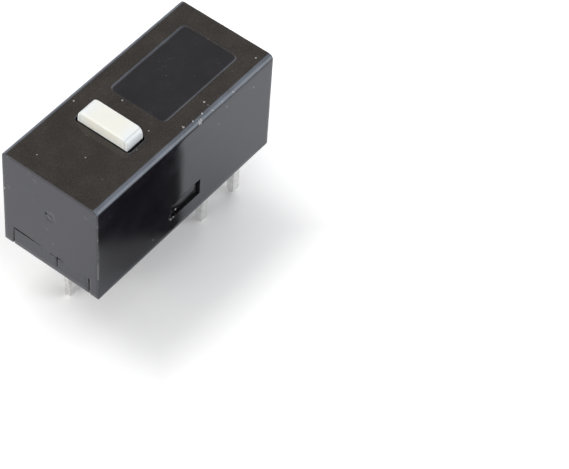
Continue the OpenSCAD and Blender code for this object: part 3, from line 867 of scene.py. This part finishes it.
class SWITCH_OT_base(bpy.types.Operator):
    """Mould the base: seam gaps, a slit in one end, full latch noses and broken edges"""

    bl_idname = "switch.base"
    bl_label = "Base"

    def execute(self, context):
        s = context.scene.switch_cover
        bm = merged_copy("base")
        wall_y, end_x = COVER_HIGH.y - s.side_wall, BASE_LOW.x
        over, deep, edge_round, step = 0.1 * MM, 0.4 * MM, 0.02 * MM, 0.3 * MM
        open_gap, foot_gap, tight_gap = 0.12 * MM, 0.05 * MM, 0.03 * MM
        slit_low, slit_high, slit_foot, slit_deep = -0.385 * MM, -0.31 * MM, 0.4 * MM, 0.12 * MM
        open_side = box_mesh(
            (end_x - over, -wall_y, -over),
            (end_x + deep, open_gap - wall_y, s.seam_height + over))
        for vert in open_side.verts:
            if vert.co.z < 0:
                vert.co.y = min(vert.co.y, foot_gap - wall_y)
        tight_side = box_mesh((end_x, wall_y - 0.2 * MM, 0.02 * MM),
                              (end_x + deep, wall_y - tight_gap, s.seam_height))
        notch = box_mesh((end_x, -0.45 * MM, 0.7 * MM),
                         (end_x + 0.2 * MM, -0.25 * MM, s.seam_height))
        slit = box_mesh((end_x - over, slit_low, slit_foot),
                        (end_x + slit_deep, slit_high, s.seam_height + over))
        steps = [(open_side, "DIFFERENCE"), (tight_side, "UNION"), (notch, "UNION"),
                 (slit, "DIFFERENCE")]
        bm = combine(bm, steps + [(self.latch(s, side), "UNION") for side in (-1, 1)])
        seam_top = s.seam_height + 0.01 * MM
        broken = [e for e in sharp_edges(bm, SHARP_ANGLE) if not on_seam(e, end_x, seam_top)]
        bevel_edges(bm, broken, edge_round, 2)
        for axis in (1, 2):
            lattice_cut(bm, axis, BASE_LOW[axis], BASE_HIGH[axis], step)
        plastic = black_plastic("base_plastic", context.scene.switch_colours.base, 0.26, 0.05)
        finish_piece(bm, "base_moulding", "housing", "base", [plastic])
        return {"FINISHED"}

    def latch(self, s, side):
        """Full nose of one latch, a little behind the outer face of the cover."""
        half, gap = s.window_width / 2 - 0.15 * MM, 0.07 * MM
        root, foot, tip = 2.2 * MM, COVER_HIGH.y - 0.16 * MM, COVER_HIGH.y - 0.17 * MM
        low, high = s.window_low + gap, s.window_high - gap
        bm = box_mesh((s.window_offset - half, min(side * root, side * foot), low),
                      (s.window_offset + half, max(side * root, side * foot), high))
        for vert in bm.verts:
            if vert.co.z > (low + high) / 2 and abs(vert.co.y) > root * 1.01:
                vert.co.y = side * tip
        return bm


class SWITCH_OT_terminals(bpy.types.Operator):
    """Finish the two stamped terminals and the four thin leads"""

    bl_idname = "switch.terminals"
    bl_label = "Terminals and leads"

    def execute(self, context):
        tin = context.scene.switch_colours.tin
        stamped = plated_metal("terminal_tin", tin, 0.34, 0.35)
        drawn = plated_metal("lead_tin", tin, 0.30, 0.3)
        for node in ("anchor_terminal", "stop_terminal"):
            bm = merged_copy(node)
            bevel_edges(bm, sharp_edges(bm, 25), 0.022 * MM, 2)
            finish_piece(bm, node + "_stamping", "housing", node, [stamped])
        for node in ("emitter_anode_lead", "emitter_cathode_lead", "receiver_collector_lead",
                     "receiver_emitter_lead"):
            bm = merged_copy(node)
            bevel_edges(bm, sharp_edges(bm, 20), 0.03 * MM, 2)
            finish_piece(bm, node + "_wire", "housing", node, [drawn])
        return {"FINISHED"}


class SWITCH_OT_inside(bpy.types.Operator):
    """Finish the snap blade, the emitter and the receiver"""

    bl_idname = "switch.inside"
    bl_label = "Inner parts"

    def execute(self, context):
        colours = context.scene.switch_colours
        finishes = {
            "snap_blade": plated_metal("blade_alloy", colours.blade, 0.24, 0.25),
            "emitter_body": cast_resin("emitter_resin", (0.62, 0.70, 0.74), 0.08, 0.45),
            "receiver_body": cast_resin("receiver_resin", (0.018, 0.012, 0.022), 0.10, 1.0),
            "emitter_chip": cast_resin("emitter_die", (0.22, 0.16, 0.30), 0.22, 1.0),
            "receiver_chip": cast_resin("receiver_die", (0.06, 0.09, 0.16), 0.18, 1.0),
        }
        gold = plated_metal("bond_gold", (0.90, 0.66, 0.22), 0.18, 0.1)
        finishes["emitter_bond_wire"] = gold
        finishes["receiver_bond_wire"] = gold
        for node, material in finishes.items():
            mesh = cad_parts[node].data
            mesh.materials.clear()
            mesh.materials.append(material)
        return {"FINISHED"}


class SWITCH_OT_stage(bpy.types.Operator):
    """Set the pale floor, the soft lamps and the camera"""

    bl_idname = "switch.stage"
    bl_label = "Floor, light and camera"

    def execute(self, context):
        s = context.scene.switch_stage
        self.floor(s)
        self.world(context, s)
        lamps = (
            ("key_lamp", (5, 100, 185), (300, 110), s.key_strength, (1.0, 0.99, 0.97), False),
            ("left_lamp", (-175, 30, 75), (150, 120), s.left_strength, (1.0, 0.985, 0.96), True),
            ("right_lamp", (165, 40, 110), (150, 120), s.right_strength, (1, 1, 1), False),
            ("side_lamp", (78, -122, 46), (110, 82), s.side_strength, (0.94, 0.97, 1.0), True),
        )
        for name, place, size, strength, colour, in_gloss in lamps:
            self.lamp(name, place, size, strength, colour).visible_glossy = in_gloss
        self.flag()
        self.camera(context, s)
        return {"FINISHED"}

    def floor(self, s):
        """A pale floor. The camera and the gloss see it brighter than it lights the switch."""
        bm, half_width = bmesh.new(), 0.6
        bmesh.ops.create_grid(bm, x_segments=2, y_segments=2, size=half_width)
        bmesh.ops.translate(bm, vec=(0, 0, FLOOR_Z), verts=bm.verts)
        floor = as_object(bm, "floor")
        material = bpy.data.materials.new("floor_paper")
        t = emptied(material)
        path = t.add("ShaderNodeLightPath").outputs
        where = t.place()
        paper = t.add("ShaderNodeBsdfDiffuse", {"Color": rgba(s.floor_colour)})
        gloss = t.mix(self.floor_shade(t, where), (0, 0, 0, 1), (*s.floor_gloss, 1.0))
        tint = t.mix(path["Is Glossy Ray"], (*s.floor_seen, 1.0), gloss)
        bright = t.add("ShaderNodeBsdfDiffuse", {"Color": tint})
        strength = self.floor_strength(t, where, path, s)
        glow = t.add("ShaderNodeEmission", {"Color": (1, 1, 1, 1), "Strength": strength})
        both = t.add("ShaderNodeAddShader", {0: bright.outputs[0], 1: glow.outputs[0]})
        seen = t.math("MAXIMUM", path["Is Camera Ray"],
                      t.math("MAXIMUM", path["Is Glossy Ray"], path["Is Transmission Ray"]))
        lit = t.add("ShaderNodeMixShader", {0: seen, 1: paper.outputs[0], 2: both.outputs[0]})
        clear = t.add("ShaderNodeBsdfTransparent")
        behind = t.add("ShaderNodeNewGeometry").outputs["Backfacing"]
        shown = t.add("ShaderNodeMixShader", {0: behind, 1: lit.outputs[0], 2: clear.outputs[0]})
        t.add("ShaderNodeOutputMaterial", {"Surface": shown.outputs[0]})
        floor.data.materials.append(material)

    def floor_shade(self, t, where):
        """Painted shade on the floor in front of the long side, seen only by the gloss that mirrors
        it.
        """
        squash, middle = (0.6, 1, 0), Vector((-0.5, -5.6, 0)) * MM
        inner, outer, darkest = 0.5 * MM, 2.8 * MM, 0.36
        moved = t.add("ShaderNodeVectorMath", {0: where, 1: squash, 2: -middle},
                      operation="MULTIPLY_ADD")
        away = t.add("ShaderNodeVectorMath", {0: moved.outputs[0]}, operation="LENGTH")
        return t.ramp(away.outputs["Value"], inner, outer, darkest, 1.0)

    def floor_strength(self, t, where, path, s):
        """Glow of the floor: little by the switch, more away from it, white at the horizon."""
        inset_x, outset_y = 1.4 * MM, 2.6 * MM
        glow_low, glow_high, gloss_loss = -1.2 * MM, 4.2 * MM, 0.6
        white_low, white_high = 12 * MM, 150 * MM
        parts = t.split(where)
        out_x = t.math("SUBTRACT", t.size(parts[0]), COVER_HIGH.x - inset_x)
        out_y = t.math("SUBTRACT", t.size(parts[1]), COVER_HIGH.y + outset_y)
        away = t.math("MAXIMUM", t.math("MAXIMUM", out_x, out_y), 0.0)
        kept = t.math("SUBTRACT", 1.0, t.times(path["Is Glossy Ray"], gloss_loss))
        near = t.times(t.ramp(away, glow_low, glow_high, 0.0, s.floor_glow), kept)
        far = t.times(path["Is Camera Ray"], t.ramp(away, white_low, white_high))
        return t.math("ADD", near, far)

    def flag(self):
        """A dark board close to the long side, seen only in reflections, that paints a dark
        reflection into its gloss.
        """
        low, high = (-3.1 * MM, -12.8 * MM, -2.6 * MM), (3.1 * MM, 0, 3.4 * MM)
        turn, place = Matrix.Rotation(math.radians(39), 3, "Z"), (-1.6 * MM, -5.8 * MM, 0)
        board = box_mesh(low, high)
        bmesh.ops.rotate(board, verts=board.verts, cent=(0, 0, 0), matrix=turn)
        bmesh.ops.translate(board, vec=place, verts=board.verts)
        board = as_object(board, "dark_flag")
        for kind in ("camera", "diffuse", "shadow", "transmission", "volume_scatter"):
            setattr(board, "visible_" + kind, False)
        material = bpy.data.materials.new("flag_dark_reflection")
        t = emptied(material)
        dark_reflector = t.add("ShaderNodeBsdfDiffuse", {"Color": (0.012, 0.012, 0.014, 1)})
        t.add("ShaderNodeOutputMaterial", {"Surface": dark_reflector.outputs[0]})
        board.data.materials.append(material)

    def world(self, context, s):
        """Soft light from all round, which the camera sees as white."""
        world = bpy.data.worlds.new("soft_surroundings")
        context.scene.world = world
        t = emptied(world)
        path = t.add("ShaderNodeLightPath").outputs
        colour = t.mix(path["Is Camera Ray"], rgba(s.sky_colour), (1, 1, 1, 1))
        light = t.add("ShaderNodeBackground", {"Color": colour, "Strength": 1.0})
        t.add("ShaderNodeOutputWorld", {"Surface": light.outputs[0]})

    def lamp(self, name, place, size, strength, colour):
        """A rectangular soft lamp that faces the switch. Place and size are in millimetres."""
        data = bpy.data.lights.new(name, "AREA")
        data.shape = "RECTANGLE"
        data.size, data.size_y = size[0] * MM, size[1] * MM
        data.color = colour
        place = Vector(place) * MM
        data.energy = strength * math.pi * math.pi * place.length_squared
        lamp = bpy.data.objects.new(name, data)
        lamp.location = place
        lamp.rotation_euler = (-place).to_track_quat("-Z", "Y").to_euler()
        bpy.context.scene.collection.objects.link(lamp)
        return lamp

    def camera(self, context, s):
        """The camera that sees the switch from above its button end."""
        place, turn = (-55.721, -45.296, 85.050), (39.1186, -3.4713, -52.4074)
        data = bpy.data.cameras.new("camera")
        data.sensor_width = 36
        data.lens = s.lens
        data.clip_start, data.clip_end = 0.005, 5
        camera = bpy.data.objects.new("camera", data)
        camera.location = Vector(place) * MM
        camera.rotation_euler = Euler([math.radians(angle) for angle in turn], "XYZ")
        context.scene.collection.objects.link(camera)
        context.scene.camera = camera
        context.scene.view_settings.view_transform = "Standard"


class SWITCH_PT_panel(bpy.types.Panel):
    """Sidebar panel with the sizes, the colours and the steps"""

    bl_idname = "SWITCH_PT_panel"
    bl_label = "Micro switch"
    bl_space_type = "VIEW_3D"
    bl_region_type = "UI"
    bl_category = "Micro switch"

    def draw(self, context):
        for owner, title in (("switch_cover", "Cover"), ("switch_button", "Button"),
                             ("switch_colours", "Colours"), ("switch_stage", "Stage")):
            group = getattr(context.scene, owner)
            column = self.layout.column(align=True)
            column.label(text=title)
            for key in group.__annotations__:
                column.prop(group, key)
        for operator in OPERATORS:
            self.layout.operator(operator.bl_idname)


SETTINGS = {"switch_cover": CoverSettings, "switch_button": ButtonSettings,
            "switch_colours": ColourSettings, "switch_stage": StageSettings}
OPERATORS = (SWITCH_OT_cover, SWITCH_OT_button, SWITCH_OT_base, SWITCH_OT_terminals,
             SWITCH_OT_inside, SWITCH_OT_stage)


def register():
    for owner, settings in SETTINGS.items():
        bpy.utils.register_class(settings)
        setattr(bpy.types.Scene, owner, PointerProperty(type=settings))
    for item in (*OPERATORS, SWITCH_PT_panel):
        bpy.utils.register_class(item)


def unregister():
    for item in (SWITCH_PT_panel, *reversed(OPERATORS)):
        bpy.utils.unregister_class(item)
    for owner, settings in SETTINGS.items():
        delattr(bpy.types.Scene, owner)
        bpy.utils.unregister_class(settings)


def main():
    """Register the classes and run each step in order."""
    register()
    bpy.ops.switch.cover()
    bpy.ops.switch.button()
    bpy.ops.switch.base()
    bpy.ops.switch.terminals()
    bpy.ops.switch.inside()
    bpy.ops.switch.stage()


if __name__ == "__main__":
    main()
